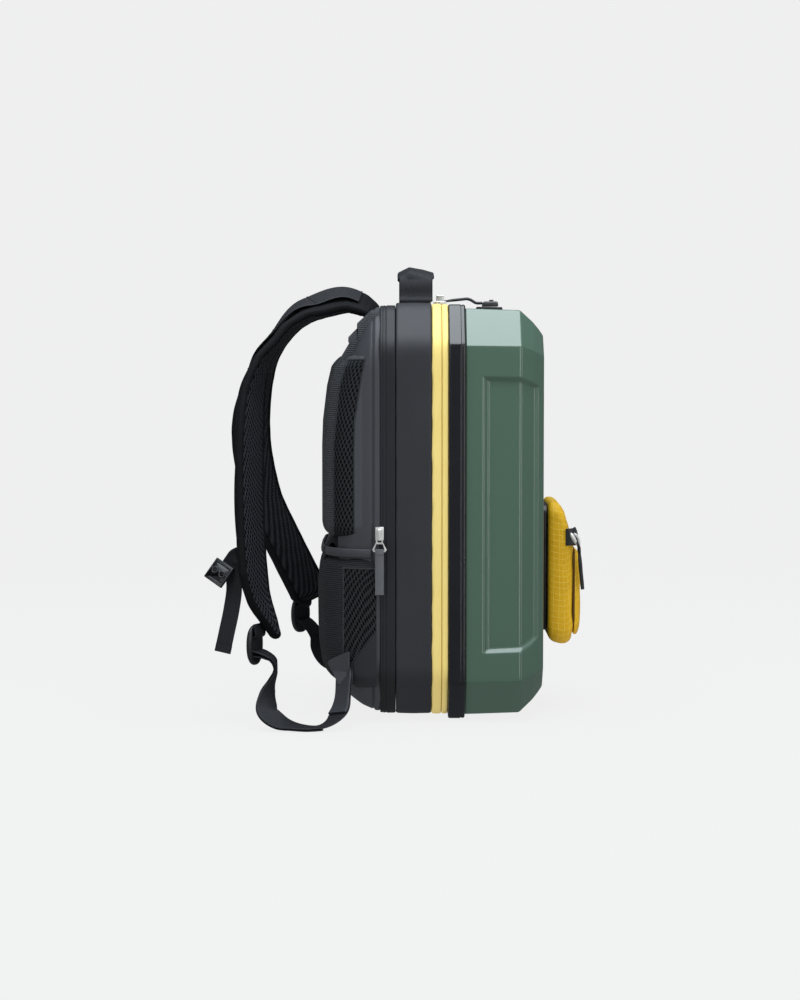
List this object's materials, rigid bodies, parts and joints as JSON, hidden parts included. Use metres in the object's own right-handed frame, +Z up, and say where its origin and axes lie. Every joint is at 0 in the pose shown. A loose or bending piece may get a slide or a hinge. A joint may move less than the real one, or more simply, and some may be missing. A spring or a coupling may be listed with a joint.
{
  "type": "hard shell backpack",
  "caption": "Hard shell backpack with a moulded green front shell, black rim, yellow zip, padded mesh back, shoulder straps with webbing, carry handle, zip lock and a small yellow pouch",
  "frame": {"origin": "on the floor under the middle of the rim frame's underside", "axes": "+Z up, -Y toward the hard shell's front, +Y toward the wearer, +X the wearer's right"},
  "size_m": [0.3759, 0.418, 0.4964],
  "materials": {
    "hard_shell": "satin moulded",
    "black_rim": "glossy",
    "yellow_zip": "smooth coated tape",
    "body_cloth": "smooth coated cloth",
    "air_mesh": "open mesh over padding",
    "webbing": "woven webbing",
    "black_plastic": "satin",
    "steel": "polished",
    "grey_tab": "smooth grained",
    "pouch_cloth": "ripstop grid"
  },
  "bodies": {
    "bag": {"shell": "hard_shell", "rim_frame": "black_rim", "zip_tape_front": "yellow_zip", "zip_tape_rear": "yellow_zip", "main_band": "body_cloth", "laptop_zip": "body_cloth", "back_panel": "body_cloth", "top_pad": "air_mesh", "upper_pad_right": "air_mesh", "upper_pad_left": "air_mesh", "lumbar_pad": "air_mesh", "sleeve_hem": "body_cloth", "shoulder_strap_left": "air_mesh", "shoulder_strap_right": "air_mesh", "strap_webbing_left": "webbing", "strap_webbing_right": "webbing", "ladder_lock_left": "black_plastic", "ladder_lock_right": "black_plastic", "lock_tab_left": "webbing", "lock_tab_right": "webbing", "lower_webbing_left": "webbing", "lower_webbing_right": "webbing", "corner_patch_left": "body_cloth", "corner_patch_right": "body_cloth", "chest_webbing": "webbing", "chest_buckle": "black_plastic", "chest_tail": "webbing", "carry_handle": "webbing", "lock_base": "black_plastic", "lock_housing": "black_plastic", "lock_button": "black_plastic", "main_slider": "steel", "main_pull": "black_plastic", "laptop_slider": "steel", "pouch": "pouch_cloth", "pouch_garage": "black_plastic", "pouch_pocket": "pouch_cloth", "pouch_backing": "black_plastic"},
    "laptop_pull": {"laptop_link": "steel", "laptop_tab": "grey_tab"}
  },
  "joints": [
    {"name": "laptop_pull_swing", "type": "hinge", "parent": "bag", "child": "laptop_pull", "pos_m": [-0.158, 0.0842, 0.2029], "axis": [0, 1, 0], "range_deg": [-3, 120]}
  ]
}
